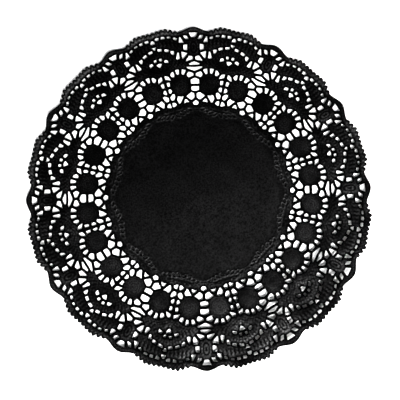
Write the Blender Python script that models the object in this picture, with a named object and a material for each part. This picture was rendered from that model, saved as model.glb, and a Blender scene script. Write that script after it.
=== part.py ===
"""A round lace doily: one flat die-cut sheet.

Twelve like repeats lie round the middle, and each is the mirror of itself about its own axis.
A repeat has a plain lobe on its axis, and half a beaded scallop on each side of it. The sheet
lies on its back at z = 0, and the first repeat's axis is +Y.

The lace is charted by hand, in chart units: a lobe's top lies LOBE_TOP units from the middle,
so one unit is just under a millimetre. Angles are in degrees, clockwise from +Y.
"""

import math
from typing import NamedTuple

import bpy

# Driving sizes, in metres: across opposite lobes, and the sheet's thickness
ACROSS = 0.254
SHEET_THICK = 0.001

# The repeat
REPEATS = 12
REPEAT_TURN = 360 / REPEATS
HALF_TURN = REPEAT_TURN / 2

# The lobe: a smooth swell of the rim on the axis of each repeat
LOBE_TOP = 128.05
LOBE_FOOT = 125.15
LOBE_HALF_TURN = 5.52
LOBE_STEPS = 6

# One chart unit, in metres
UNIT = ACROSS / 2 / LOBE_TOP

# The beads of half a scallop, from its middle to the lobe: how far out each one reaches
BEAD_TOPS = (128.2, 128.5, 128.7, 128.8, 127.7, 126.4)
BEAD_TURN = (HALF_TURN - LOBE_HALF_TURN) / len(BEAD_TOPS)
BEAD_DEPTH = 0.8
BEAD_SHOULDER = 0.27

# The finish: black paper
PAPER_COLOUR = (0.0094, 0.0088, 0.0090, 1.0)
PAPER_ROUGHNESS = 0.72


class Gap(NamedTuple):
    """One gap of the lace, as a shape of four to eight corners.

    across, out: its middle, measured from the axis and from the doily's middle
    head, foot: the widths of its outer and inner ends
    tall: from foot to head
    turn: how far the shape is turned clockwise
    lean: how far the head lies to the right of the foot
    peak, point: how far the middle of the head stands out, and the middle of the foot
    left, right: how far the middle of that side swells
    """

    across: float
    out: float
    head: float
    foot: float
    tall: float
    turn: float = 0
    lean: float = 0
    peak: float = 0
    point: float = 0
    left: float = 0
    right: float = 0


# Gaps on the axis of a repeat, from the rim inwards
AXIS_GAPS = (
    Gap(0, 122.35, head=6.8, foot=3.2, tall=3.7),
    Gap(0, 99.7, head=9.0, foot=6.8, tall=0.9, peak=1.9),
    Gap(0, 97.35, head=12.2, foot=11.6, tall=1.2, peak=-0.35, point=2.3),
    Gap(0, 86.3, head=6.6, foot=6.3, tall=3.4, peak=1.4),
    Gap(0, 81.15, head=6.0, foot=5.8, tall=3.1, point=0.7),
    Gap(0, 69.2, head=4.8, foot=2.7, tall=2.0, peak=1.9),
)

# Gaps on the line between two repeats
BETWEEN_GAPS = (Gap(0, 102.35, head=4.9, foot=1.0, tall=2.8, peak=0.7),)

# Gaps beside the axis, each with its mirror image on the other side, from the rim inwards
SIDE_GAPS = (
    Gap(6.3, 113.0, head=3.8, foot=5.0, tall=3.1, turn=90),
    Gap(7.8, 106.6, head=4.9, foot=0.9, tall=5.4, turn=-15),
    Gap(12.15, 106.7, head=1.1, foot=3.1, tall=5.2, lean=-0.3, point=0.7),
    Gap(3.75, 103.4, head=0.6, foot=2.4, tall=5.6, turn=90, lean=2.4, left=2.4),
    Gap(2.9, 91.9, head=4.8, foot=1.9, tall=4.0, turn=90, lean=0.2, peak=1.3),
    Gap(16.7, 92.3, head=1.4, foot=2.2, tall=3.8, turn=22, lean=-0.8, point=0.6, right=1.45),
    Gap(2.1, 75.4, head=6.1, foot=3.5, tall=2.4, turn=90, lean=0.5, peak=3.9),
    Gap(11.6, 72.5, head=4.6, foot=0.9, tall=5.9, lean=-1.0, peak=-0.6, right=1.3),
    Gap(17.0, 74.6, head=1.6, foot=2.0, tall=5.0, lean=-0.8, left=0.6, right=1.4),
)


def turned(point, degrees):
    """The point turned clockwise about the middle."""
    angle = math.radians(degrees)
    x, y = point
    return (
        x * math.cos(angle) + y * math.sin(angle),
        y * math.cos(angle) - x * math.sin(angle),
    )


def gap_corners(gap):
    """The corners of a gap in its repeat, going round clockwise from its foot's left end.

    A corner in the middle of an end or of a side is there only where it stands out or in.
    """
    top, bottom = gap.tall / 2, -gap.tall / 2
    head_mid, foot_mid = gap.lean / 2, -gap.lean / 2
    side = (gap.head + gap.foot) / 4
    shape = [
        (foot_mid - gap.foot / 2, bottom, True),
        (-side - gap.left, 0, gap.left),
        (head_mid - gap.head / 2, top, True),
        (head_mid, top + gap.peak, gap.peak),
        (head_mid + gap.head / 2, top, True),
        (side + gap.right, 0, gap.right),
        (foot_mid + gap.foot / 2, bottom, True),
        (foot_mid, bottom - gap.point, gap.point),
    ]
    corners = [turned((x, y), gap.turn) for x, y, used in shape if used]
    return [(x + gap.across, y + gap.out) for x, y in corners]


def mirrored(points):
    """The same outline on the other side of the axis."""
    return [(-x, y) for x, y in reversed(points)]


def repeat_gaps():
    """The outlines of one repeat's gaps."""
    outlines = [gap_corners(gap) for gap in AXIS_GAPS]
    for gap in BETWEEN_GAPS:
        outlines.append([turned(point, HALF_TURN) for point in gap_corners(gap)])
    for gap in SIDE_GAPS:
        outlines.append(gap_corners(gap))
        outlines.append(mirrored(gap_corners(gap)))
    return outlines


def at(reach, degrees):
    """The point that lies this far out, this far clockwise from +Y."""
    return turned((0, reach), degrees)


def half_lobe():
    """The rim from the top of the lobe to its foot: half a wave of a cosine."""
    points = []
    for step in range(LOBE_STEPS):
        share = step / LOBE_STEPS
        swell = (1 + math.cos(math.pi * share)) / 2
        reach = LOBE_FOOT + (LOBE_TOP - LOBE_FOOT) * swell
        points.append(at(reach, LOBE_HALF_TURN * share))
    return points


def half_scallop():
    """The beads from the lobe's foot to the scallop's middle: a notch, then two shoulders."""
    points = []
    for number in reversed(range(len(BEAD_TOPS))):
        top = BEAD_TOPS[number]
        middle = HALF_TURN - (number + 0.5) * BEAD_TURN
        beside = BEAD_TOPS[min(number + 1, len(BEAD_TOPS) - 1)]
        points.append(at(min(top, beside) - BEAD_DEPTH, middle - BEAD_TURN / 2))
        points.append(at(top, middle - BEAD_SHOULDER * BEAD_TURN))
        points.append(at(top, middle + BEAD_SHOULDER * BEAD_TURN))
    return points


def rim():
    """The whole outline, clockwise, one repeat after another."""
    half = half_lobe() + half_scallop()
    notch = at(BEAD_TOPS[0] - BEAD_DEPTH, HALF_TURN)
    repeat = mirrored(half[1:]) + half + [notch]
    return [turned(point, REPEAT_TURN * k) for k in range(REPEATS) for point in repeat]


def add_outline(curve, points):
    """Adds one closed outline of straight lines to the curve."""
    spline = curve.splines.new("POLY")
    spline.points.add(len(points) - 1)
    for corner, (x, y) in zip(spline.points, points):
        corner.co = (x * UNIT, y * UNIT, 0, 1)
    spline.use_cyclic_u = True


def paper():
    """Black paper."""
    material = bpy.data.materials.new("black_paper")
    material.use_nodes = True
    shader = material.node_tree.nodes["Principled BSDF"]
    shader.inputs["Base Color"].default_value = PAPER_COLOUR
    shader.inputs["Roughness"].default_value = PAPER_ROUGHNESS
    shader.inputs["Metallic"].default_value = 0
    return material


def doily():
    """The sheet: a filled outline with its gaps left open, extruded to its thickness."""
    curve = bpy.data.curves.new("doily", "CURVE")
    curve.dimensions = "2D"
    curve.fill_mode = "BOTH"
    curve.extrude = SHEET_THICK / 2
    add_outline(curve, rim())
    for k in range(REPEATS):
        for outline in repeat_gaps():
            add_outline(curve, [turned(point, REPEAT_TURN * k) for point in outline])
    curve.materials.append(paper())
    sheet = bpy.data.objects.new("doily", curve)
    sheet.location.z = SHEET_THICK / 2
    bpy.context.scene.collection.objects.link(sheet)


def main():
    for thing in list(bpy.data.objects):
        bpy.data.objects.remove(thing, do_unlink=True)
    doily()


main()
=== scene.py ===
"""A round doily of black paper lace, die-cut and embossed, lying on a pale table.

The lace is charted for one repeat, in chart units of just under a millimetre: +Y is the repeat's
axis, and angles are in degrees, clockwise from it. Half a repeat is worked out as a flat sheet of
triangles with its gaps left open and its relief raised. It is mirrored, laid round the middle
twelve times and closed with an underside and cut edges, and the whole sheet is then bent a little,
as paper that has been rolled.
"""

import math
from typing import NamedTuple

import bpy
import numpy as np
from bpy.props import FloatProperty, FloatVectorProperty, PointerProperty
from mathutils import Euler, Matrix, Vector
from mathutils.geometry import delaunay_2d_cdt


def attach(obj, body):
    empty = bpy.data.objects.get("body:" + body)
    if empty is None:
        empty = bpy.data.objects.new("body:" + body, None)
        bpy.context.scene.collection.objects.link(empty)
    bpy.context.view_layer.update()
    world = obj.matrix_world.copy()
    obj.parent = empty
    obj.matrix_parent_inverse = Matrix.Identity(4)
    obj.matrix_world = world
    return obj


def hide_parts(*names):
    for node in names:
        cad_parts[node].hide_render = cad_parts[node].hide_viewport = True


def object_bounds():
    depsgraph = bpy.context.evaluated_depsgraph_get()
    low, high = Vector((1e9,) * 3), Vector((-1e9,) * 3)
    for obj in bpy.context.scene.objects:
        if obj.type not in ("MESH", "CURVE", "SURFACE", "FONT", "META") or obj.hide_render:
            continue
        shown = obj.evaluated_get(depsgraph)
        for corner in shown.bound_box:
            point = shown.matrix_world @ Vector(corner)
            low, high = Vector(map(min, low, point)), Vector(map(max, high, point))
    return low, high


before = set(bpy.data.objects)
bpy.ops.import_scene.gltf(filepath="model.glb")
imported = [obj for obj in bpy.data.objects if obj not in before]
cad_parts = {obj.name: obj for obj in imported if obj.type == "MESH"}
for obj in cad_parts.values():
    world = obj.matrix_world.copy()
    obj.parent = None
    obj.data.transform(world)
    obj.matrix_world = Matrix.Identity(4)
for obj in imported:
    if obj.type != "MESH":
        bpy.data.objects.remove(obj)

bl_info = {
    "name": "Paper lace doily",
    "version": (1, 0, 0),
    "blender": (4, 5, 0),
    "location": "3D View > Sidebar > Doily",
    "description": "Makes a round die-cut and embossed paper doily, and a table to show it on",
    "category": "Add Mesh",
}

CAD_LOW, CAD_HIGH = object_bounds()

# The repeat, in degrees
REPEATS = 12
REPEAT_TURN = 360 / REPEATS
HALF_TURN = REPEAT_TURN / 2

# The lobe: a smooth swell of the rim on the axis of each repeat
LOBE_TOP = 128.05
LOBE_FOOT = 125.15
LOBE_HALF_TURN = 5.52

# The beads of half a scallop, from its middle to the lobe: how far out each one reaches, how deep
# the notches are below the lower bead beside them, and the power that rounds a bead
BEAD_TOPS = np.array((128.2, 128.5, 128.7, 128.8, 127.7, 126.4))
BEAD_TURN = (HALF_TURN - LOBE_HALF_TURN) / len(BEAD_TOPS)
BEAD_DEPTH = 1.1
BEAD_ROUNDNESS = 2.4

# One chart unit, in metres
UNIT = (CAD_HIGH.x - CAD_LOW.x) / 2 / LOBE_TOP

# The cut outlines: how far pressing rolls the paper into each gap, how far a corner's rounding
# reaches along its edges and at most which share of them, the longest straight, and the steps of
# half a lobe and of a bead
ROLLED_IN = 0.11
CORNER_REACH, CORNER_SHARE = 0.55, 0.42
LONGEST_EDGE = 1.5
LOBE_STEPS, BEAD_STEPS = 11, 6

# The sheet's points: how far apart they lie at these distances from the middle, on top and below,
# and how much room they leave to cut edges, to each other and to a repeat's sides. Only a fine
# side has points on the crests of its cords, and past them the room is a share of the pitch. Last
# come how many marks a side's spacing is summed at, how exactly the triangles are worked out, and
# how near two points count as one
TOP_REACHES, TOP_PITCHES = (0, 57.9, 58.3, 67.4, 67.6, 130), (2.9, 2.9, 0.52, 0.52, 0.82, 0.82)
UNDER_REACHES, UNDER_PITCHES = (0, 130), (3.2, 3.2)
FINE_PITCH = 1
CREST_ROOM = 0.50
CREST_CLEARANCE = 0.36
CREST_PITCH = 0.48
FIELD_CLEARANCE = 0.45
EDGE_CLEARANCE = 0.40
SEAM_CLEARANCE = 0.50
SEAM_MARKS = 4000
CUT_PRECISION = 1e-5
SAME_PLACE = 1e-4

# The relief: widths and places in chart units, and turns in degrees. Two numbers are where a form
# starts and where it is whole, or fades and is gone. Three are a stretch and the slope beside it
CORD_SLOPE, CORD_WIDTH = 0.42, (1.0, 1.5)
FIELD_START = (0.9, 1.6)
PILLOW_SLOPE = (1.2, 3.4)
LACE_START = (65.2, 67.0)
ARCH_START, HOLLOW_SIZE = (1.2, 2.6), 0.72
DISC_REACH, DISC_TURN, DISC_RADIUS, DISC_SLOPE = 83.9, 7.6, 6.6, 1
CONTOUR_ROOM, CONTOUR_WIDTH, CONTOUR_START, CONTOUR_RISE = 1.85, 0.42, (88, 96), 0.4
FLUTE_TURN, FLUTE_START = 1.42, 5.16
FLUTE_HEIGHT, FLUTE_SIDES = (114.6, 119.6, 0.5), (4.4, 13.9, 0.4)
CRESCENT_REACH, CRESCENT_RIBS, CRESCENT_WIDTH = 98.3, 36, (7.4, 13.4, 0.6)
NECK_PITCH, NECK_START, NECK_SLANT = 2.85, 13.75, 0.5
NECK_WIDTH, NECK_HEIGHT = (8.2, 17.6, 0.6), (99.6, 103.2, 0.5)
FAN_REACH, FAN_RIBS, FAN_WIDTH = 96.2, 8, (2.0, 5.4, 0.5)
SHELL_REACH, SHELL_WIDE, SHELL_TALL = 112.8, 3.2, 6.6
BEAD_FOOT, BEAD_LENGTH, BEAD_FADE = 0.5, 2.8, 0.8
RIM_GROOVE, GROOVE_DEPTH = (2.5, 3.2, 0.4), 0.5
UNDER_DEPTH = 0.5

# The shine: how much each part of the relief adds to it, and a band behind the rim, less by a lobe.
# The shine sets the strength of the coat, and it also mixes the base colour, where it is painted
# shade, darkest on the cords by the cut edges, in hollows, in the rim's groove, towards the discs'
# edges and by the underside's cut edges, and painted highlight on crests and on the band
PLAIN_SHINE, DISC_SHINE, DETAIL_SHINE, BAND_SHINE = 0.22, 0.13, 0.62, 0.62
LINE_PART, RIB_PART, CONTOUR_PART, BEAD_PART, GROOVE_PART = 0.9, 0.6, 0.3, 0.3, 0.8
BAND_START, BAND_END, BAND_ROOM = (122.5, 123.5), (2.8, 4.0), (0.8, 1.8)
LOBE_BAND, LOBE_SLOPE = 0.6, 0.5
DISC_SHADE, DISC_SHADE_START = 0.4, (4.0, 6.6)
MIDDLE_END, MIDDLE_SHINE, FAINT_LINE = (58.5, 61), 0.32, 0.1
UNDER_SHINE = 0.5

# The curl: where the cup and the turned-up rim start, the waves round the rim as counts and places,
# and the long wave
CUP_START, TURN_UP_START = 95.0, 121.5
RIPPLES = ((3, 0.6), (7, 2.1))
WAVE_LENGTH, WAVE_TURN, WAVE_PLACE = 105.0, -20.0, -14.0

# The map that the finish is baked through: the top side, and the underside in a corner
MAP_NAME = "OFBake"
MAP_TOP_SPAN, MAP_UNDER_SPAN = 0.855, 0.30
MAP_MARGIN = 0.004


class Gap(NamedTuple):
    """One gap of the lace, as a shape of four to eight corners.

    across, out: its middle, measured from the axis and from the doily's middle
    head, foot: the widths of its outer and inner ends
    tall: from foot to head
    turn: how far the shape is turned clockwise
    lean: how far the head lies to the right of the foot
    peak, point: how far the middle of the head stands out, and the middle of the foot
    left, right: how far the middle of that side swells
    """

    across: float
    out: float
    head: float
    foot: float
    tall: float
    turn: float = 0
    lean: float = 0
    peak: float = 0
    point: float = 0
    left: float = 0
    right: float = 0


# Gaps on the axis of a repeat, from the rim inwards
AXIS_GAPS = (
    Gap(0, 122.35, head=6.8, foot=3.2, tall=3.7),
    Gap(0, 99.7, head=9.0, foot=6.8, tall=0.9, peak=1.9),
    Gap(0, 97.35, head=12.2, foot=11.6, tall=1.2, peak=-0.35, point=2.3),
    Gap(0, 86.3, head=6.6, foot=6.3, tall=3.4, peak=1.4),
    Gap(0, 81.15, head=6.0, foot=5.8, tall=3.1, point=0.7),
    Gap(0, 69.2, head=4.8, foot=2.7, tall=2.0, peak=1.9),
)

# Gaps on the line between two repeats, from the rim inwards
BETWEEN_GAPS = (
    Gap(0, 121.1, head=1.2, foot=3.5, tall=3.0, left=0.4, right=0.4),
    Gap(0, 116.1, head=3.7, foot=0.9, tall=2.5),
    Gap(0, 102.35, head=4.9, foot=1.0, tall=2.8, peak=0.7),
)

# Gaps beside the axis, each with its mirror image on the other side, from the rim inwards
SIDE_GAPS = (
    Gap(5.55, 120.6, head=2.8, foot=3.0, tall=3.1, lean=1.8),
    Gap(9.8, 118.75, head=0.9, foot=3.8, tall=4.7, lean=1.15),
    Gap(14.0, 119.6, head=3.1, foot=2.2, tall=1.9, turn=-20),
    Gap(18.8, 120.8, head=3.0, foot=2.6, tall=1.6),
    Gap(23.3, 120.4, head=2.8, foot=2.6, tall=2.2, turn=12),
    Gap(27.7, 119.5, head=2.9, foot=2.2, tall=2.3, turn=10, right=0.6),
    Gap(6.3, 113.0, head=3.8, foot=5.0, tall=3.1, turn=90),
    Gap(16.1, 108.8, head=2.8, foot=1.3, tall=3.4, lean=0.7, right=0.5),
    Gap(20.7, 110.7, head=3.6, foot=3.2, tall=2.2, turn=-11),
    Gap(26.0, 111.1, head=3.5, foot=3.2, tall=2.2, turn=2),
    Gap(7.8, 106.6, head=4.9, foot=0.9, tall=5.4, turn=-15),
    Gap(12.15, 106.7, head=1.1, foot=3.1, tall=5.2, lean=-0.3, point=0.7),
    Gap(3.75, 103.4, head=0.6, foot=2.4, tall=5.6, turn=90, lean=2.4, left=2.4),
    Gap(21.2, 102.4, head=2.2, foot=3.5, tall=2.4, turn=-8, lean=0.5, right=0.3),
    Gap(25.6, 103.7, head=2.2, foot=2.0, tall=2.3, turn=8),
    Gap(2.9, 91.9, head=4.8, foot=1.9, tall=4.0, turn=90, lean=0.2, peak=1.3),
    Gap(8.6, 93.8, head=3.3, foot=1.7, tall=4.2, turn=-14),
    Gap(13.1, 93.8, head=3.1, foot=1.6, tall=4.2, turn=10),
    Gap(16.7, 92.3, head=1.4, foot=2.2, tall=3.8, turn=22, lean=-0.8, point=0.6, right=1.45),
    Gap(21.0, 89.4, head=3.1, foot=4.6, tall=2.9, turn=-10, lean=2.0),
    Gap(20.3, 84.4, head=2.5, foot=1.9, tall=3.4, turn=6, lean=0.2),
    Gap(19.4, 79.1, head=1.6, foot=1.2, tall=3.6, turn=8, left=1.2, right=0.1),
    Gap(2.1, 75.4, head=6.1, foot=3.5, tall=2.4, turn=90, lean=0.5, peak=3.9),
    Gap(11.6, 72.5, head=4.6, foot=0.9, tall=5.9, lean=-1.0, peak=-0.6, right=1.3),
    Gap(17.0, 74.6, head=1.6, foot=2.0, tall=5.0, lean=-0.8, left=0.6, right=1.4),
    Gap(7.3, 71.5, head=1.0, foot=4.4, tall=3.0, turn=14, point=-0.5),
    Gap(16.9, 68.6, head=2.0, foot=1.0, tall=3.6, turn=2, left=1.9),
)


class Loop(NamedTuple):
    """A raised oval line round a hollow.

    across, out: its middle, measured from the axis and from the doily's middle
    wide, tall: half its width and half its height
    turn: how far it is turned clockwise
    line: half the width of the raised line
    rise, hollow: the line's height and the hollow's depth, as shares of the setting for lines
    arch: whether only its outer half has a line
    """

    across: float
    out: float
    wide: float
    tall: float
    turn: float = 0
    line: float = 0.42
    rise: float = 1
    hollow: float = 0
    arch: bool = False


# Loops on the axis of a repeat or beside it: the garland's chain and the arches on its axis, the
# shell's two ovals, and small rings along the crescent's lower edge
LOOPS = (
    Loop(4.6, 64.8, wide=2.2, tall=1.10, turn=-14, line=0.32, hollow=1),
    Loop(7.6, 63.3, wide=2.2, tall=1.10, turn=-8, line=0.32, hollow=1),
    Loop(10.8, 61.8, wide=2.3, tall=1.10, turn=-17, line=0.32, hollow=1),
    Loop(14.0, 60.3, wide=2.3, tall=1.15, turn=-30, line=0.32, hollow=1),
    Loop(12.4, 66.2, wide=1.9, tall=1.30, turn=28, rise=0.5, hollow=0.3),
    Loop(0, 61.0, wide=6.2, tall=5.0, line=0.5, rise=0.5, arch=True),
    Loop(0, 60.6, wide=5.0, tall=3.6, line=0.4, rise=0.4, arch=True),
    Loop(0, SHELL_REACH, wide=1.2, tall=2.5, rise=0.5, hollow=0.3),
    Loop(0, SHELL_REACH, wide=SHELL_WIDE, tall=5.4, rise=0.4),
    Loop(20.8, 94.1, wide=0.95, tall=0.95, line=0.40, rise=0.8, hollow=0.8),
    Loop(24.9, 92.9, wide=0.95, tall=0.95, line=0.40, rise=0.8, hollow=0.8),
    Loop(13.7, 97.6, wide=0.95, tall=0.80, line=0.40, rise=0.8, hollow=0.8),
    Loop(9.1, 98.2, wide=0.95, tall=0.80, line=0.40, rise=0.8, hollow=0.8),
)


# Shapes in the plane


def turned(points, degrees):
    """Points turned clockwise about the middle: (x cos t + y sin t, y cos t - x sin t)."""
    angle = math.radians(degrees)
    x, y = points[:, 0], points[:, 1]
    return np.stack(
        (x * math.cos(angle) + y * math.sin(angle), y * math.cos(angle) - x * math.sin(angle)), 1
    )


def around(reach, degrees):
    """The points that lie this far out, this far clockwise from +Y: r (sin t, cos t)."""
    angle = np.radians(degrees)
    return np.stack((reach * np.sin(angle), reach * np.cos(angle)), -1)


def norm(points):
    """The lengths of vectors, or how far points are from the middle: sqrt(x^2 + y^2)."""
    return np.hypot(points[:, 0], points[:, 1])


def square_to(along):
    """The directions square to these, on their left: (-y, x) / sqrt(x^2 + y^2)."""
    return np.stack((-along[:, 1], along[:, 0]), 1) / norm(along)[:, None]


def gap_corners(gap):
    """The corners of a gap in its repeat, going round clockwise from its foot's left end.

    A corner in the middle of an end or of a side is there only where it stands out or in.
    """
    top, bottom = gap.tall / 2, -gap.tall / 2
    head_mid, foot_mid = gap.lean / 2, -gap.lean / 2
    side = (gap.head + gap.foot) / 4
    shape = [
        (foot_mid - gap.foot / 2, bottom, True),
        (-side - gap.left, 0, gap.left),
        (head_mid - gap.head / 2, top, True),
        (head_mid, top + gap.peak, gap.peak),
        (head_mid + gap.head / 2, top, True),
        (side + gap.right, 0, gap.right),
        (foot_mid + gap.foot / 2, bottom, True),
        (foot_mid, bottom - gap.point, gap.point),
    ]
    corners = np.array([(x, y) for x, y, used in shape if used])
    return turned(corners, gap.turn) + (gap.across, gap.out)


def rounded(corners):
    """A closed outline with each corner C swept by a parabola from A to B, on the edges beside it:
    (1 - s)^2 A + 2 s (1 - s) C + s^2 B, for s of 0, a half and 1."""

    def along(neighbours):
        edge = neighbours - corners
        return corners + edge * np.minimum(CORNER_REACH / norm(edge), CORNER_SHARE)[:, None]

    share = np.array((0, 0.5, 1))[:, None]
    before, after = along(np.roll(corners, 1, 0))[:, None], along(np.roll(corners, -1, 0))[:, None]
    arcs = (1 - share) ** 2 * before + 2 * share * (1 - share) * corners[:, None] + share**2 * after
    return arcs.reshape(-1, 2)


def divided(outline):
    """A closed outline with each edge in n equal parts: P + (Q - P) j / n, j from 0 to n - 1."""
    edge = np.roll(outline, -1, 0) - outline
    parts = np.maximum(np.ceil(norm(edge) / LONGEST_EDGE), 1).astype(int)
    start = np.repeat(np.arange(len(outline)), parts)
    number = np.arange(len(start)) - np.repeat(np.cumsum(parts) - parts, parts)
    return outline[start] + edge[start] * (number / parts[start])[:, None]


def seam_distance(points, degrees):
    """How far the points lie clockwise of the line from the middle that runs at this angle."""
    return turned(points, -degrees)[:, 0]


def met_by_seam(outline, degrees):
    """A closed outline with a point added wherever it crosses that line."""
    here = seam_distance(outline, degrees)
    there = np.roll(here, -1)
    off_line = np.abs(here) > SAME_PLACE
    crosses = np.flatnonzero((here * there < 0) & off_line & np.roll(off_line, -1))
    share = (here / np.where(here == there, 1, here - there))[crosses, None]
    cut = outline[crosses] + (np.roll(outline, -1, 0) - outline)[crosses] * share
    return np.insert(outline, crosses + 1, cut, axis=0)


def outward(outline):
    """The directions square to a clockwise outline, away from its inside: the edge from the point
    before to the point after, turned a quarter."""
    return square_to(np.roll(outline, -1, 0) - np.roll(outline, 1, 0))


def pressed(corners):
    """The cut outline of a gap with these corners: rounded, divided, and drawn in by P - d n, where
    n is square to the outline."""
    outline = divided(rounded(corners))
    return outline - ROLLED_IN * outward(outline)


def gap_outlines():
    """The cut outlines of the gaps that lie in half a repeat."""
    outlines = [met_by_seam(pressed(gap_corners(gap)), 0) for gap in AXIS_GAPS]
    for gap in BETWEEN_GAPS:
        outlines.append(met_by_seam(pressed(turned(gap_corners(gap), HALF_TURN)), HALF_TURN))
    return outlines + [pressed(gap_corners(gap)) for gap in SIDE_GAPS]


def rim_outline():
    """Half a repeat's rim, clockwise: half a wave of a cosine for the lobe, and then beads, each of
    them top - (top - notch) |s|^n, where s runs from -1 to 1 across the bead."""
    share = np.arange(LOBE_STEPS) / LOBE_STEPS
    lobe = around(
        LOBE_FOOT + (LOBE_TOP - LOBE_FOOT) * (1 + np.cos(np.pi * share)) / 2, LOBE_HALF_TURN * share
    )
    tops = BEAD_TOPS[::-1, None]
    lower = np.minimum(BEAD_TOPS[:-1], BEAD_TOPS[1:]) - BEAD_DEPTH
    notches = np.concatenate(([LOBE_FOOT], lower[::-1], [BEAD_TOPS[0] - BEAD_DEPTH]))
    across = np.arange(BEAD_STEPS) / BEAD_STEPS * 2 - 1
    notch = np.where(across < 0, notches[:-1, None], notches[1:, None])
    reach = tops - (tops - notch) * np.abs(across) ** BEAD_ROUNDNESS
    number = np.arange(len(BEAD_TOPS))[:, None]
    turn = LOBE_HALF_TURN + BEAD_TURN * (number + (across + 1) / 2)
    beads = around(reach.ravel(), turn.ravel())
    return np.concatenate((lobe, beads, around(notches[-1:], np.array([HALF_TURN]))))


def edges_of(outlines):
    """Where the edges of closed outlines start and end."""
    ends = [np.roll(outline, -1, 0) for outline in outlines]
    return np.concatenate(outlines), np.concatenate(ends)


def distance_to(points, starts, ends):
    """How far each point is from the nearest edge: from P to A + t (B - A), where
    t = (P - A).(B - A) / |B - A|^2, held between 0 and 1."""
    edge = ends - starts
    away = points[:, None] - starts
    share = np.clip((away * edge).sum(2) / (edge * edge).sum(1), 0, 1)
    return np.linalg.norm(away - share[..., None] * edge, axis=2).min(1)


def inside(points, starts, ends):
    """Which points lie inside the outlines: a line that runs from them to +X crosses the edges an
    odd number of times."""
    x, y = points[:, None, 0], points[:, None, 1]
    spans = (starts[:, 1] > y) != (ends[:, 1] > y)
    rise = np.where(starts[:, 1] == ends[:, 1], 1, ends[:, 1] - starts[:, 1])
    crossing = starts[:, 0] + (y - starts[:, 1]) / rise * (ends[:, 0] - starts[:, 0])
    return (spans & (x < crossing)).sum(1) % 2 == 1


# Half a repeat


def lattice(pitch, low, high):
    """Points a pitch apart, each row shifted half a pitch from the last, between two distances from
    the middle: (i p + (j mod 2) p / 2, j p sqrt(3) / 2)."""
    rows = np.arange(math.ceil(LOBE_TOP / pitch / math.sqrt(0.75)) + 1)[:, None]
    columns = np.arange(math.ceil(LOBE_TOP * math.sin(math.radians(HALF_TURN)) / pitch) + 1)
    x = (columns + rows % 2 / 2) * pitch
    points = np.stack((x, rows * pitch * math.sqrt(0.75) + 0 * x), 2).reshape(-1, 2)
    reach = norm(points)
    return points[(reach > low) & (reach < high)]


def seam_points(degrees, gaps, top, reaches, pitches):
    """Points along one straight side of half a repeat, from the middle out. They lie in the
    stretches between its gaps, evenly by the sum of 1 / pitch."""
    marks = np.linspace(0, LOBE_TOP + 1, SEAM_MARKS)
    steps = np.diff(marks) / np.interp(marks[1:], reaches, pitches)
    count = np.concatenate(([0], np.cumsum(steps)))
    met = np.concatenate([gap[np.abs(seam_distance(gap, degrees)) < SAME_PLACE] for gap in gaps])
    ends = np.sort(np.concatenate(([0, top], norm(met))))
    stretches = []
    for low, high in ends.reshape(-1, 2):
        first, last = np.interp((low, high), marks, count)
        parts = max(2, round(last - first))
        stretches.append(np.interp(np.linspace(first, last, parts + 1)[1:-1], count, marks))
    reach = np.concatenate(stretches)
    return around(reach, np.full(len(reach), degrees))


def crest_points(gaps, rim):
    """Points along the crests of the cords, at a set distance from each cut edge: P + d n, where n
    is square to the outline. Where they crowd, one is kept for each cell of a small grid."""
    sides = [outline + CREST_ROOM * outward(outline) for outline in gaps]
    points = np.concatenate([*sides, rim - CREST_ROOM * square_to(np.gradient(rim, axis=0))])
    _, first = np.unique(np.round(points / CREST_PITCH).astype(int), axis=0, return_index=True)
    return points[first]


def half_repeat(reaches, pitches, gaps, rim):
    """The points and triangles of half a repeat, seen from above, with its gaps left open: the
    Delaunay triangles of its outlines and of points that keep clear of them."""
    starts, ends = edges_of(gaps)
    low = seam_points(0, gaps, LOBE_TOP, reaches, pitches)
    high = seam_points(HALF_TURN, gaps, BEAD_TOPS[0] - BEAD_DEPTH, reaches, pitches)
    wedge = np.concatenate(([(0, 0)], low, rim, high[::-1]))
    fine = pitches[-1] < FINE_PITCH
    crests = crest_points(gaps, rim) if fine else np.empty((0, 2))
    zones = zip(reaches[::2], reaches[1::2], pitches[::2])
    field = np.concatenate([crests] + [lattice(pitch, *span) for *span, pitch in zones])
    is_crest = np.arange(len(field)) < len(crests)
    kept = inside(field, *edges_of([wedge])) & ~inside(field, starts, ends)
    field, is_crest = field[kept], is_crest[kept]
    pitch = np.interp(norm(field), reaches, pitches)
    cut_starts, cut_ends = np.concatenate((starts, rim[:-1])), np.concatenate((ends, rim[1:]))
    edge_room = distance_to(field, cut_starts, cut_ends)
    seam_room = np.minimum(seam_distance(field, 0), -seam_distance(field, HALF_TURN))
    off_crest = CREST_ROOM + FIELD_CLEARANCE * pitch if fine else EDGE_CLEARANCE
    clear = np.where(is_crest, CREST_CLEARANCE, off_crest)
    kept = (edge_room > clear) & (seam_room > SEAM_CLEARANCE * np.minimum(pitch, FINE_PITCH))
    field = field[kept]

    loops = [wedge, *gaps]
    points = np.concatenate((*loops, field))
    last = np.cumsum([len(loop) for loop in loops])
    edges = np.stack(edges_of(np.split(np.arange(last[-1]), last[:-1])), 1)
    made = delaunay_2d_cdt(
        [Vector(point) for point in points], edges.tolist(), [], 0, CUT_PRECISION, False
    )
    points, triangles = np.array(made[0], float), np.array(made[2])
    middles = points[triangles].mean(1)
    kept = inside(middles, *edges_of([wedge])) & ~inside(middles, starts, ends)
    used, triangles = np.unique(triangles[kept], return_inverse=True)
    points, triangles = points[used], triangles.reshape(-1, 3)
    for degrees in (0, HALF_TURN):
        near = np.abs(seam_distance(points, degrees)) < SAME_PLACE
        points[near] = around(norm(points[near]), degrees)
    return points, triangles


# The relief


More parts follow.
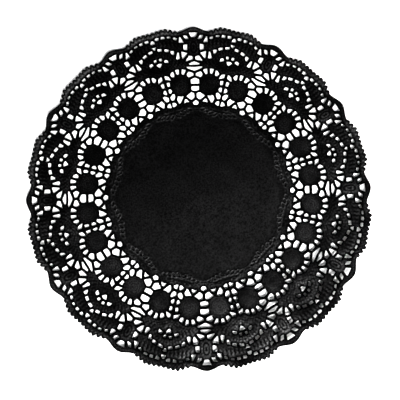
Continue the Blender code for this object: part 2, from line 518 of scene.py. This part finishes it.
def smooth(value, low, high):
    """From 0 at low to 1 at high: 3 t^2 - 2 t^3."""
    share = np.clip((value - low) / (high - low), 0, 1)
    return share * share * (3 - 2 * share)


def within(value, low, high, slope):
    """1 between low and high, falling smoothly to 0 over a slope outside each."""
    return smooth(value, low - slope, low) * (1 - smooth(value, high, high + slope))


def waves(distance, pitch):
    """Ridges a pitch apart, from -1 to 1: a cosine of the distance."""
    return np.cos(2 * np.pi * distance / pitch)


def cords(room):
    """The raised cord beside each cut edge, from 0 to 1."""
    return smooth(room, 0, CORD_SLOPE) * (1 - smooth(room, *CORD_WIDTH))


def disc_distance(points):
    """How far the points are from the middle of the disc beside the axis."""
    return norm(points - around(DISC_REACH, DISC_TURN))


def discs(points):
    """Two round, flat-topped bosses for each repeat: 1 - (distance / radius)^4."""
    away = disc_distance(points) / DISC_RADIUS
    return np.clip(1 - away**4, 0, 1)


def oval_lines(points):
    """The loops' raised lines, less their hollows. With e = sqrt((u / wide)^2 + (v / tall)^2), a
    line is rise exp(-((e - 1) w / line)^2), where w is the loop's smaller half, and a hollow is
    hollow exp(-(e / size)^4). An arch's line fades out towards its lower half."""
    lines, hollows = np.zeros(len(points)), np.zeros(len(points))
    for loop in LOOPS:
        spot = turned(points - (loop.across, loop.out), -loop.turn)
        e = np.hypot(spot[:, 0] / loop.wide, spot[:, 1] / loop.tall)
        least = min(loop.wide, loop.tall)
        share = loop.rise * (smooth(spot[:, 1], *ARCH_START) if loop.arch else 1)
        lines = np.maximum(lines, share * np.exp(-(((e - 1) * least / loop.line) ** 2)))
        hollows = np.maximum(hollows, loop.hollow * np.exp(-((e / HOLLOW_SIZE) ** 4)))
    return lines - hollows


def ribs(points, reach, turn):
    """Ridges between -1 and 1: flutes on the outer leaves, like rays, spokes round the crescents'
    middles, slanted strokes on the necks by the axis, and a small fan on the line between."""
    x, y = points[:, 0], points[:, 1]
    flutes = within(reach, *FLUTE_HEIGHT) * within(turn, *FLUTE_SIDES)
    hub = around(CRESCENT_REACH, HALF_TURN)
    spoke = np.arctan2(x - hub[0], y - hub[1])
    crescent = within(norm(points - hub), *CRESCENT_WIDTH) * (1 - flutes)
    neck = within(x, *NECK_WIDTH) * within(y, *NECK_HEIGHT)
    root = around(FAN_REACH, HALF_TURN)
    ray = np.arctan2(x - root[0], y - root[1]) - np.radians(HALF_TURN)
    fan = within(norm(points - root), *FAN_WIDTH) * (np.abs(ray) < math.pi / 2)
    neck_wave = waves(x - NECK_START + NECK_SLANT * (y - NECK_HEIGHT[0]), NECK_PITCH)
    rest = (1 - neck) * (1 - fan)
    return (
        flutes * waves(turn - FLUTE_START, FLUTE_TURN)
        + neck * neck_wave
        + fan * np.cos(FAN_RIBS * ray)
        + rest * crescent * np.cos(CRESCENT_RIBS * spoke)
    )


def beads(room, turn):
    """A short rounded rib behind each bead of the rim: 1 - s^2 across it."""
    number = (turn - LOBE_HALF_TURN) / BEAD_TURN
    across = (number - np.floor(number)) * 2 - 1
    length = smooth(room, 0, BEAD_FOOT) * (1 - smooth(room, BEAD_LENGTH - BEAD_FADE, BEAD_LENGTH))
    return (number > 0) * (1 - across**2) * length


def relief(points, gap_room, rim_room, settings):
    """How far the top of the sheet stands up at each point of half a repeat, in metres: the sum of
    its parts, each times its setting. And its shine there, from 0 on the cords: a share for plain
    paper and for the discs, raised on the crests of lines, ribs and beads and lowered in hollows,
    in the rim's groove and towards the discs' edges, and a band behind the rim. The uncut middle
    has one shine throughout, but for its lines. The shine sets the coat's strength, and in the base
    colour it is painted shade on the cords and in the hollows and painted highlight on the crests
    and the band."""
    reach = norm(points)
    turn = np.degrees(np.arctan2(points[:, 0], points[:, 1]))
    room = np.minimum(gap_room, rim_room)
    away = disc_distance(points)
    lace = smooth(reach, *LACE_START)
    off_disc = smooth(away, DISC_RADIUS, DISC_RADIUS + DISC_SLOPE)
    field = smooth(room, *FIELD_START)
    lines = oval_lines(points)
    contour = np.exp(-(((room - CONTOUR_ROOM) / CONTOUR_WIDTH) ** 2))
    contour = contour * smooth(reach, *CONTOUR_START)
    strokes = ribs(points, reach, turn)
    bead = beads(rim_room, turn)
    groove = within(rim_room, *RIM_GROOVE) * smooth(gap_room, *FIELD_START)
    height = (
        settings.cord_rise * cords(gap_room) * smooth(rim_room, 0, CORD_SLOPE)
        + settings.pillow_rise * lace * off_disc * smooth(room, *PILLOW_SLOPE)
        + settings.disc_rise * discs(points)
        + settings.rib_rise * field * strokes
        + settings.line_rise * field * (lines + CONTOUR_RISE * contour)
        + settings.bead_rise * (bead - GROOVE_DEPTH * groove)
    )
    detail = (
        LINE_PART * lines
        + RIB_PART * strokes
        + CONTOUR_PART * contour
        + BEAD_PART * bead
        - GROOVE_PART * groove
    )
    band = smooth(reach, *BAND_START) * (1 - smooth(rim_room, *BAND_END)) * smooth(room, *BAND_ROOM)
    off_lobe = smooth(turn, LOBE_HALF_TURN - LOBE_SLOPE, LOBE_HALF_TURN + LOBE_SLOPE)
    band = band * (LOBE_BAND + (1 - LOBE_BAND) * off_lobe)
    plain = PLAIN_SHINE + DISC_SHINE * (1 - off_disc)
    # Painted shade and highlight: this shine also mixes the base colour, darkening the cords,
    # hollows and groove and lightening crests and the band
    shine = field * np.clip(plain + DETAIL_SHINE * detail, 0, 1) + BAND_SHINE * band
    shine = shine * (1 - DISC_SHADE * smooth(away, *DISC_SHADE_START) * (1 - off_disc))
    middle = (1 - smooth(reach, *MIDDLE_END)) * (np.abs(lines) < FAINT_LINE)
    return height, shine + middle * (MIDDLE_SHINE - shine)


def broad_relief(points, room, settings):
    """The part of the relief that also shows from below: the bosses and the swell of the leaves."""
    reach = norm(points)
    return UNDER_DEPTH * (
        settings.disc_rise * discs(points)
        + settings.pillow_rise * smooth(reach, *LACE_START) * smooth(room, *PILLOW_SLOPE)
    )


def curl(points, settings):
    """How far the paper lies off the table: a lift that grows with the square of the distance along
    one diagonal, another for its far end, low waves that grow with the cube of the distance from
    the middle, one long wave that crosses the whole sheet, a sine, and the cup of the outer lace
    and the turned-up rim, which grow with the square of the distance past their starts."""
    slant = settings.curl_direction
    reach = norm(points) / LOBE_TOP
    turn = np.arctan2(points[:, 0], points[:, 1])
    along = (points[:, 0] * math.sin(slant) + points[:, 1] * math.cos(slant)) / LOBE_TOP
    lift = np.where(along > 0, settings.curl_near, settings.curl_far) * along**2
    ripple = sum((np.sin(count * turn + place) for count, place in RIPPLES), len(RIPPLES))
    ring = np.clip((reach * LOBE_TOP - CUP_START) / (LOBE_TOP - CUP_START), 0, None)
    edge = np.clip((reach * LOBE_TOP - TURN_UP_START) / (LOBE_TOP - TURN_UP_START), 0, None)
    across = turned(points, -WAVE_TURN)[:, 1]
    wave = 1 + np.sin(2 * np.pi * (across - WAVE_PLACE) / WAVE_LENGTH)
    return (
        lift
        + settings.ripple / (2 * len(RIPPLES)) * ripple * reach**3
        + settings.wave / 2 * wave
        + settings.cup * ring**2
        + settings.turn_up * edge**2
    )


# The whole sheet


def welded(points, triangles, values):
    """Half a repeat mirrored and laid round the middle, with the points that meet made one."""
    flipped = points * (-1, 1)
    pair = np.concatenate((points, flipped))
    faces = np.concatenate((triangles, triangles[:, ::-1] + len(points)))
    places = np.concatenate([turned(pair, REPEAT_TURN * k) for k in range(REPEATS)])
    faces = np.concatenate([faces + len(pair) * k for k in range(REPEATS)])
    values = np.tile(values, (2 * REPEATS, 1))
    keys = np.round(places / SAME_PLACE).astype(int)
    _, first, index = np.unique(keys, axis=0, return_index=True, return_inverse=True)
    return places[first], index.ravel()[faces], values[first]


def open_edges(triangles):
    """The edges with a triangle on one side only, each running the way its triangle goes round."""
    edges = np.concatenate([triangles[:, pair] for pair in ((0, 1), (1, 2), (2, 0))])
    many = triangles.max() + 1
    forward, backward = edges[:, 0] * many + edges[:, 1], edges[:, 1] * many + edges[:, 0]
    return edges[~np.isin(forward, backward)]


def twins(top_points, under_points, top_index, under_index):
    """For each open point of the top side, the point of the underside that lies below it."""
    top_keys = np.round(top_points[top_index] / SAME_PLACE).astype(int) @ (1 << 32, 1)
    under_keys = np.round(under_points[under_index] / SAME_PLACE).astype(int) @ (1 << 32, 1)
    order = np.argsort(under_keys)
    found = order[np.searchsorted(under_keys[order], top_keys).clip(max=len(order) - 1)]
    if not np.array_equal(under_keys[found], top_keys):
        raise RuntimeError("the underside's cut edges don't lie below the top's")
    return under_index[found]


def sheet_mesh(settings):
    """The doily's points, triangles, shine and map, as a closed sheet."""
    gaps, rim = gap_outlines(), rim_outline()
    sides = []
    for reaches, pitches in ((TOP_REACHES, TOP_PITCHES), (UNDER_REACHES, UNDER_PITCHES)):
        points, triangles = half_repeat(reaches, pitches, gaps, rim)
        gap_room = distance_to(points, *edges_of(gaps))
        rim_room = distance_to(points, rim[:-1], rim[1:])
        if pitches == TOP_PITCHES:
            height, shine = relief(points, gap_room, rim_room, settings)
            height = height + settings.thickness
        else:
            room = np.minimum(gap_room, rim_room)
            height = broad_relief(points, room, settings)
            # Painted shade: the underside's shine, which also mixes its base colour, darkens it
            # towards its cut edges
            shine = UNDER_SHINE * smooth(room, *FIELD_START)
        sides.append(welded(points, triangles, np.stack((height, shine), 1)))
    (top, top_faces, top_values), (under, under_faces, under_values) = sides

    rim_edges = open_edges(top_faces)
    below = twins(top, under, rim_edges.ravel(), np.unique(open_edges(under_faces)))
    (start, end), (near, far) = rim_edges.T, below.reshape(-1, 2).T + len(top)
    walls = np.concatenate((np.stack((end, start, near), 1), np.stack((end, near, far), 1)))
    plan = np.concatenate((top, under))
    values = np.concatenate((top_values, under_values))
    heights = values[:, 0] + curl(plan, settings)
    faces = np.concatenate((top_faces, under_faces[:, ::-1] + len(top), walls))
    if len(open_edges(faces)):
        raise RuntimeError("the sheet isn't closed")
    points = np.column_stack((plan * UNIT, heights))
    return points, faces, values[:, 1], flat_map(plan, faces, len(top), len(walls), settings)


def flat_map(plan, faces, top_count, wall_count, settings):
    """Where each corner of each face lies on the map: the plan at one scale for the top side, at
    another for the underside, and each cut edge folded outwards from the top by its thickness."""
    widest = 2 * BEAD_TOPS.max()
    scale, under_scale = MAP_TOP_SPAN / widest, MAP_UNDER_SPAN / widest
    spots = plan[faces] * scale + MAP_MARGIN + MAP_TOP_SPAN / 2
    below = (faces >= top_count).all(1)
    spots[below] = plan[faces[below]] * under_scale + 1 - MAP_MARGIN - MAP_UNDER_SPAN / 2
    halves = faces[-wall_count:]
    side = plan[halves[: wall_count // 2, 0]] - plan[halves[: wall_count // 2, 1]]
    fold = np.tile(square_to(side), (2, 1))[:, None] * settings.thickness / UNIT * scale
    spots[-wall_count:] -= np.where((halves >= top_count)[..., None], fold, 0)
    return spots


# The finish


class Wire:
    """An output socket of a material's nodes. Arithmetic on wires and numbers adds Math nodes."""

    def __init__(self, tree, socket=None):
        self.tree, self.socket = tree, socket

    def node(self, kind, settings=None, inputs=None, output=0):
        """Adds a node, sets it up, fills its sockets by name or number, and gives an output."""
        made = self.tree.nodes.new(kind)
        for name, value in (settings or {}).items():
            setattr(made, name, value)
        for name, value in (inputs or {}).items():
            if isinstance(value, Wire):
                self.tree.links.new(value.socket, made.inputs[name])
            else:
                made.inputs[name].default_value = value
        return Wire(self.tree, made.outputs[output])

    def beside(self, output):
        """Another output of the same node."""
        return Wire(self.tree, self.socket.node.outputs[output])

    def maths(self, operation, *values):
        """The result of a Math node on these wires and numbers."""
        return self.node("ShaderNodeMath", {"operation": operation}, dict(enumerate(values)))

    def __add__(self, other):
        return self.maths("ADD", self, other)

    __radd__ = __add__

    def __sub__(self, other):
        return self.maths("SUBTRACT", self, other)

    def __rsub__(self, other):
        return self.maths("SUBTRACT", other, self)

    def __mul__(self, other):
        return self.maths("MULTIPLY", self, other)

    __rmul__ = __mul__

    def __truediv__(self, other):
        return self.maths("DIVIDE", self, other)

    def __rtruediv__(self, other):
        return self.maths("DIVIDE", other, self)

    def between(self, low, high, start=0.0, end=1.0):
        """From start where the value is low to end where it is high, with soft ends."""
        return self.node(
            "ShaderNodeMapRange",
            {"interpolation_type": "SMOOTHSTEP"},
            {"Value": self, "From Min": low, "From Max": high, "To Min": start, "To Max": end},
        )

    def mixed(self, low, high):
        """A colour: low where the value is 0, and high where it is 1."""
        colours = {0: self, 6: (*low, 1.0), 7: (*high, 1.0)}
        return self.node("ShaderNodeMix", {"data_type": "RGBA"}, colours, output=2)


def new_finish(name):
    """A material with its shader, and a wire to add nodes with."""
    material = bpy.data.materials.new(name)
    material.use_nodes = True
    return material, material.node_tree.nodes["Principled BSDF"], Wire(material.node_tree)


def joined(wire, socket):
    """Links a wire to a socket of the shader."""
    wire.tree.links.new(wire.socket, socket)


# The paper's fine surface, in chart units: the embossed net, the discs' rings and rays, the oval
# on each shell, and the grain and its cloudy sheen. An oval's lines lie a share of its size apart,
# they end at its edge, and they fade towards its two ends
NET_PITCH, NET_SHINE = 2.6, 0.8
RING_PITCH, RING_SHARE, RING_BLUR = 1.75, 0.45, 0.4
RAYS, RAY_SHARE, RAY_START = 14, 0.75, (1.0, 2.5)
OVAL_PITCH, OVAL_EDGE, OVAL_FADE = 0.62, (1.1, 1.3), (4.0, 6.0)
# How much the shells' ovals add to the shine, and how much their lines raise it and lower it
# between them, which in the colour is painted highlight and shade along the lines
OVAL_SHINE, OVAL_CONTRAST = 0.15, 1.1
GRAIN_SIZE, GRAIN_DETAIL, GRAIN_ROUGHNESS = 1.2, 3.0, 0.65
CLOUD_SIZE, CLOUD_DETAIL, MIDDLE_CLOUD = 20.0, 2.0, 0.25
COAT_IOR = 1.5

# What the noise of the grain and of the clouds turns into: from these two values, to these two
GRAIN_SHINE = (0.3, 0.7, 0.2, 1.8)
CLOUD_SHINE = (0.32, 0.68, 0.35, 1.75)
CLOUD_ROUGHNESS = (0.3, 0.7, 0.56, 0.64)

# The table: how many faint clouds a metre holds, how bright they leave it, and its gloss
TABLE_CLOUDS, TABLE_SHADE, TABLE_GLOSS = 3.0, 0.98, 0.2


def paper_finish(settings):
    """Black paper: a fine embossed net on the lace, mirrored with it, over the paper's own grain.

    Each spot is folded into half a repeat. There the net is sin(2 pi x / p) sin(2 pi y / p). On a
    disc it is rings, cos(2 pi r / p), broken by rays, cos(n a), and on a shell it is ovals, cos(2
    pi (e - 1) / p) with e = sqrt((x / wide)^2 + (y / tall)^2). The shine worked out with the
    relief, times that of the grain and the clouds, mixes the two colours and gives the coat's
    strength. In the colour it is painted shade on the cords and in hollows, painted highlight on
    crests, and painted lighter and darker lines along the shells' ovals."""
    material, shader, wire = new_finish("black_paper")
    place = wire.node("ShaderNodeTexCoord", output="Object")
    spot = wire.node("ShaderNodeVectorMath", {"operation": "SCALE"}, {0: place, "Scale": 1 / UNIT})
    x = wire.node("ShaderNodeSeparateXYZ", inputs={0: spot})
    y = x.beside("Y")
    reach = wire.maths("SQRT", x * x + y * y)
    fold = wire.maths("PINGPONG", wire.maths("ARCTAN2", x, y), math.radians(HALF_TURN))
    across, out = reach * wire.maths("SINE", fold), reach * wire.maths("COSINE", fold)
    step = 2 * math.pi / NET_PITCH
    net = wire.maths("SINE", across * step) * wire.maths("SINE", out * step)

    centre = around(DISC_REACH, DISC_TURN)
    right, up = across - float(centre[0]), out - float(centre[1])
    away = wire.maths("SQRT", right * right + up * up)
    ring = wire.maths("COSINE", away * (2 * math.pi / RING_PITCH))
    ray = wire.maths("COSINE", wire.maths("ARCTAN2", right, up) * RAYS)
    disc = away.between(DISC_RADIUS - RING_BLUR, DISC_RADIUS + RING_BLUR, 1.0, 0.0)
    disc_net = ring * (RING_SHARE + RAY_SHARE * ray * away.between(*RAY_START))

    along = out - SHELL_REACH
    oval = wire.maths("SQRT", across * across / SHELL_WIDE**2 + along * along / SHELL_TALL**2)
    stroke = wire.maths("COSINE", (oval - 1) * (2 * math.pi / OVAL_PITCH))
    shell = oval.between(*OVAL_EDGE, 1.0, 0.0)
    shell = shell * wire.maths("ABSOLUTE", along).between(*OVAL_FADE, 1.0, 0.0)

    shine = wire.node("ShaderNodeAttribute", {"attribute_name": "shine"}, output="Fac")
    on_lace = reach.between(*LACE_START)
    fine = (net + (disc_net - net) * disc) * on_lace
    grain_inputs = {"Scale": 1 / GRAIN_SIZE, "Detail": GRAIN_DETAIL, "Roughness": GRAIN_ROUGHNESS}
    grain = wire.node("ShaderNodeTexNoise", inputs={"Vector": spot, **grain_inputs})
    cloud_inputs = {"Scale": 1 / CLOUD_SIZE, "Detail": CLOUD_DETAIL}
    cloud = wire.node("ShaderNodeTexNoise", inputs={"Vector": spot, **cloud_inputs})
    height = grain * settings.grain_rise + fine * (1 - shell) * settings.net_rise
    height = height + shell * stroke * settings.oval_rise
    bump = wire.node("ShaderNodeBump", inputs={"Strength": 1.0, "Distance": 1.0, "Height": height})
    joined(bump, shader.inputs["Normal"])

    speckle = grain.between(*GRAIN_SHINE)
    cloudy = cloud.between(*CLOUD_SHINE)
    cloud_share = MIDDLE_CLOUD + (1 - MIDDLE_CLOUD) * on_lace
    # Painted shade and highlight: this mix of the base colour is dark on the cords and in hollows
    # and light on crests, besides setting the coat
    shine_and_painted_shade = shine * speckle * (1 + (cloudy - 1) * cloud_share)
    shine_and_painted_shade = shine_and_painted_shade * (1 + shell * (OVAL_SHINE + OVAL_CONTRAST * stroke))
    colour = shine_and_painted_shade.mixed(settings.painted_shade_colour, settings.paper_colour)
    joined(colour, shader.inputs["Base Color"])
    joined(cloud.between(*CLOUD_ROUGHNESS), shader.inputs["Roughness"])
    joined(shine_and_painted_shade * (1 + NET_SHINE * fine) * settings.paper_shine, shader.inputs["Coat Weight"])
    shader.inputs["Specular IOR Level"].default_value = settings.paper_gloss
    shader.inputs["Coat IOR"].default_value = COAT_IOR
    shader.inputs["Coat Roughness"].default_value = settings.shine_roughness
    return material


def table_finish(settings):
    """A plain pale table, with faint clouds."""
    material, shader, wire = new_finish("pale_table")
    place = wire.node("ShaderNodeTexCoord", output="Object")
    cloud = wire.node("ShaderNodeTexNoise", inputs={"Vector": place, "Scale": TABLE_CLOUDS})
    shade = [part * TABLE_SHADE for part in settings.table_colour]
    joined(cloud.mixed(shade, settings.table_colour), shader.inputs["Base Color"])
    shader.inputs["Roughness"].default_value = settings.table_roughness
    shader.inputs["Specular IOR Level"].default_value = TABLE_GLOSS
    return material


# Objects: the angle past which an edge is sharp, in degrees, the heights between which the sky
# dims, as sines of the angle above the horizon, and the nearest that the camera sees, in metres
SHARP_ANGLE = 50
SKY_HEIGHTS = (0.15, 0.65)
CLIP_START = 0.01


def new_object(name, points, faces, material):
    """An object at the origin, with these points and faces."""
    mesh = bpy.data.meshes.new(name)
    mesh.from_pydata(points.tolist(), [], faces.tolist())
    mesh.materials.append(material)
    made = bpy.data.objects.new(name, mesh)
    bpy.context.scene.collection.objects.link(made)
    return made


def lace_sheet(settings):
    """The doily, as one closed sheet."""
    points, faces, shine, spots = sheet_mesh(settings)
    sheet = new_object("doily_paper", points, faces, paper_finish(settings))
    mesh = sheet.data
    share = mesh.attributes.new("shine", "FLOAT", "POINT")
    share.data.foreach_set("value", shine.astype(np.float32))
    layer = mesh.uv_layers.new(name=MAP_NAME)
    layer.uv.foreach_set("vector", spots.reshape(-1).astype(np.float32))
    mesh.shade_smooth()
    mesh.set_sharp_from_angle(angle=math.radians(SHARP_ANGLE))
    first, second = np.diff(points[faces][:, :, :2], axis=1).transpose(1, 0, 2)
    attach(sheet, "root")
    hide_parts("doily")
    return sheet


def table(settings):
    """The table top, a square on the level of the doily's underside."""
    half = settings.table_size / 2
    low = CAD_LOW.z - settings.table_gap
    plan = ((-half, -half), (half, -half), (half, half), (-half, half))
    corners = np.array([(x, y, low) for x, y in plan])
    made = new_object("table", corners, np.array([(0, 1, 2, 3)]), table_finish(settings))
    return made


class Softbox(NamedTuple):
    """A soft light: its name, where it stands, its width and its share of the light, in watts."""

    name: str
    place: tuple
    width: float
    watts: float


SOFTBOXES = (
    Softbox("key", (0.36, -0.86, 1.00), 0.6, 56.0),
    Softbox("right", (1.08, -0.20, 0.90), 0.6, 20.0),
    Softbox("left", (-0.92, -0.62, 0.82), 0.6, 13.0),
)


def softbox(box, strength):
    """A square light that faces the doily's middle."""
    light = bpy.data.lights.new(box.name, "AREA")
    light.shape = "SQUARE"
    light.size = box.width
    light.energy = box.watts * strength
    made = bpy.data.objects.new(box.name, light)
    made.location = box.place
    made.rotation_euler = Vector(box.place).to_track_quat("Z", "Y").to_euler()
    bpy.context.scene.collection.objects.link(made)


def sky(settings):
    """Even light from all round, stronger from the sides than from straight above."""
    world = bpy.data.worlds.new("studio")
    world.use_nodes = True
    wire = Wire(world.node_tree)
    rise = wire.node("ShaderNodeTexCoord", output="Generated")
    up = wire.node("ShaderNodeSeparateXYZ", inputs={0: rise}, output="Z")
    strength = up.between(*SKY_HEIGHTS, settings.side_light, settings.top_light)
    joined(strength, world.node_tree.nodes["Background"].inputs["Strength"])
    bpy.context.scene.world = world


def camera(settings):
    """The camera, nearly straight above the doily."""
    lens = bpy.data.cameras.new("camera")
    lens.lens = settings.lens
    lens.sensor_width = settings.sensor
    lens.clip_start = CLIP_START
    made = bpy.data.objects.new("camera", lens)
    made.location = settings.camera_place
    made.rotation_euler = Euler(settings.camera_turn)
    bpy.context.scene.collection.objects.link(made)
    bpy.context.scene.camera = made


# The add-on


class DoilySettings(bpy.types.PropertyGroup):
    """Sizes and colours of the doily."""

    thickness: FloatProperty(
        name="Paper", description="Thickness of the paper", default=0.00025, subtype="DISTANCE"
    )
    cord_rise: FloatProperty(
        name="Cords",
        description="Height of the cords beside the gaps",
        default=0.00016,
        subtype="DISTANCE",
    )
    pillow_rise: FloatProperty(
        name="Leaves",
        description="Height of the solid parts of the lace",
        default=0.00030,
        subtype="DISTANCE",
    )
    disc_rise: FloatProperty(
        name="Discs", description="Height of the round bosses", default=0.00010, subtype="DISTANCE"
    )
    rib_rise: FloatProperty(
        name="Ribs",
        description="Half the height of the ribs on the leaves",
        default=0.00007,
        subtype="DISTANCE",
    )
    line_rise: FloatProperty(
        name="Lines",
        description="Height of the oval lines in the garland and on the shells",
        default=0.00030,
        subtype="DISTANCE",
    )
    bead_rise: FloatProperty(
        name="Beads",
        description="Height of the beads of the rim",
        default=0.00032,
        subtype="DISTANCE",
    )
    curl_direction: FloatProperty(
        name="Curl direction",
        description="Way that the curl runs, clockwise from +Y",
        default=math.radians(-44.2),
        subtype="ANGLE",
    )
    curl_near: FloatProperty(
        name="Near lift",
        description="Lift of the rim at the curl's near end",
        default=0.0003,
        subtype="DISTANCE",
    )
    curl_far: FloatProperty(
        name="Far lift",
        description="Lift of the rim at the curl's far end",
        default=0.0018,
        subtype="DISTANCE",
    )
    ripple: FloatProperty(
        name="Ripple",
        description="Height of the waves at the rim",
        default=0.0004,
        subtype="DISTANCE",
    )
    wave: FloatProperty(
        name="Wave",
        description="Height of the long wave across the sheet",
        default=0.0008,
        subtype="DISTANCE",
    )
    turn_up: FloatProperty(
        name="Turned-up rim",
        description="How far the rim turns up",
        default=0.0012,
        subtype="DISTANCE",
    )
    cup: FloatProperty(
        name="Cup",
        description="How far the outer lace rises towards the rim",
        default=0.0008,
        subtype="DISTANCE",
    )
    grain_rise: FloatProperty(
        name="Grain", description="Depth of the paper's grain", default=0.00008, subtype="DISTANCE"
    )
    net_rise: FloatProperty(
        name="Net",
        description="Half the height of the embossed net",
        default=0.00006,
        subtype="DISTANCE",
    )
    oval_rise: FloatProperty(
        name="Ovals",
        description="Half the height that the finish adds to the shells' ovals",
        default=0.00009,
        subtype="DISTANCE",
    )
    paper_colour: FloatVectorProperty(
        name="Paper colour",
        description="Colour of the black paper",
        default=(0.0004, 0.0004, 0.0005),
        subtype="COLOR",
    )
    # Painted shade: the darker colour given to the paper on its cords by the cut edges and in its
    # hollows
    painted_shade_colour: FloatVectorProperty(
        name="Shade colour",
        description="Colour of the paper in its cords and hollows",
        default=(0.0001, 0.0001, 0.0001),
        subtype="COLOR",
    )
    paper_gloss: FloatProperty(
        name="Gloss",
        description="Strength of the paper's own reflection",
        default=0.002,
        subtype="FACTOR",
    )
    paper_shine: FloatProperty(
        name="Shine",
        description="Strength of the shine that pressing gave the paper",
        default=0.49,
        subtype="FACTOR",
    )
    shine_roughness: FloatProperty(
        name="Shine roughness", description="Roughness of the shine", default=0.42, subtype="FACTOR"
    )


class StageSettings(bpy.types.PropertyGroup):
    """Sizes, colours and light of the table."""

    table_size: FloatProperty(
        name="Table", description="Width of the table top", default=6.0, subtype="DISTANCE"
    )
    table_gap: FloatProperty(
        name="Gap",
        description="How far the table lies below the doily",
        default=0.00005,
        subtype="DISTANCE",
    )
    table_colour: FloatVectorProperty(
        name="Table colour",
        description="Colour of the table top",
        default=(0.93, 0.93, 0.93),
        subtype="COLOR",
    )
    table_roughness: FloatProperty(
        name="Table roughness",
        description="Roughness of the table top",
        default=0.8,
        subtype="FACTOR",
    )
    light_strength: FloatProperty(
        name="Light", description="Strength of all softboxes together", default=1.0
    )
    side_light: FloatProperty(
        name="Side light", description="Strength of the even light from the sides", default=1.5
    )
    top_light: FloatProperty(
        name="Top light", description="Strength of the even light from above", default=0.04
    )
    lens: FloatProperty(
        name="Lens",
        description="Focal length, in millimetres",
        default=36.0,
        subtype="DISTANCE_CAMERA",
    )
    sensor: FloatProperty(
        name="Sensor",
        description="Width of the camera's sensor, in millimetres",
        default=36.0,
        subtype="DISTANCE_CAMERA",
    )
    camera_place: FloatVectorProperty(
        name="Camera",
        description="Where the camera stands",
        default=(-6.19 * UNIT, -25.17 * UNIT, 298.74 * UNIT),
        subtype="TRANSLATION",
    )
    camera_turn: FloatVectorProperty(
        name="Camera turn",
        description="How the camera is turned",
        default=(math.radians(4.03), math.radians(-1.02), math.radians(-2.40)),
        subtype="EULER",
    )


class OBJECT_OT_doily_sheet(bpy.types.Operator):
    """Makes the doily's sheet of paper lace"""

    bl_idname = "object.doily_sheet"
    bl_label = "Paper lace"
    bl_options = {"REGISTER", "UNDO"}

    def execute(self, context):
        lace_sheet(context.scene.doily_settings)
        return {"FINISHED"}


class OBJECT_OT_doily_stage(bpy.types.Operator):
    """Makes the table, the lights and the camera"""

    bl_idname = "object.doily_stage"
    bl_label = "Table, lights and camera"
    bl_options = {"REGISTER", "UNDO"}

    def execute(self, context):
        settings = context.scene.doily_stage_settings
        table(settings)
        for box in SOFTBOXES:
            softbox(box, settings.light_strength)
        sky(settings)
        camera(settings)
        context.scene.view_settings.view_transform = "Standard"
        return {"FINISHED"}


class VIEW3D_PT_doily(bpy.types.Panel):
    """Lists the doily's steps and settings"""

    bl_label = "Paper lace doily"
    bl_space_type = "VIEW_3D"
    bl_region_type = "UI"
    bl_category = "Doily"

    def draw(self, context):
        for operator, settings in (
            (OBJECT_OT_doily_sheet, context.scene.doily_settings),
            (OBJECT_OT_doily_stage, context.scene.doily_stage_settings),
        ):
            box = self.layout.box()
            box.operator(operator.bl_idname)
            for name in settings.__annotations__:
                box.prop(settings, name)


CLASSES = (
    DoilySettings,
    StageSettings,
    OBJECT_OT_doily_sheet,
    OBJECT_OT_doily_stage,
    VIEW3D_PT_doily,
)


def register():
    """Adds the settings, the operators and the panel."""
    for part in CLASSES:
        bpy.utils.register_class(part)
    bpy.types.Scene.doily_settings = PointerProperty(type=DoilySettings)
    bpy.types.Scene.doily_stage_settings = PointerProperty(type=StageSettings)


def unregister():
    """Takes them away again."""
    del bpy.types.Scene.doily_stage_settings
    del bpy.types.Scene.doily_settings
    for part in reversed(CLASSES):
        bpy.utils.unregister_class(part)


def main():
    """Makes the doily and its stage."""
    register()
    bpy.ops.object.doily_sheet()
    bpy.ops.object.doily_stage()


if __name__ == "__main__":
    main()
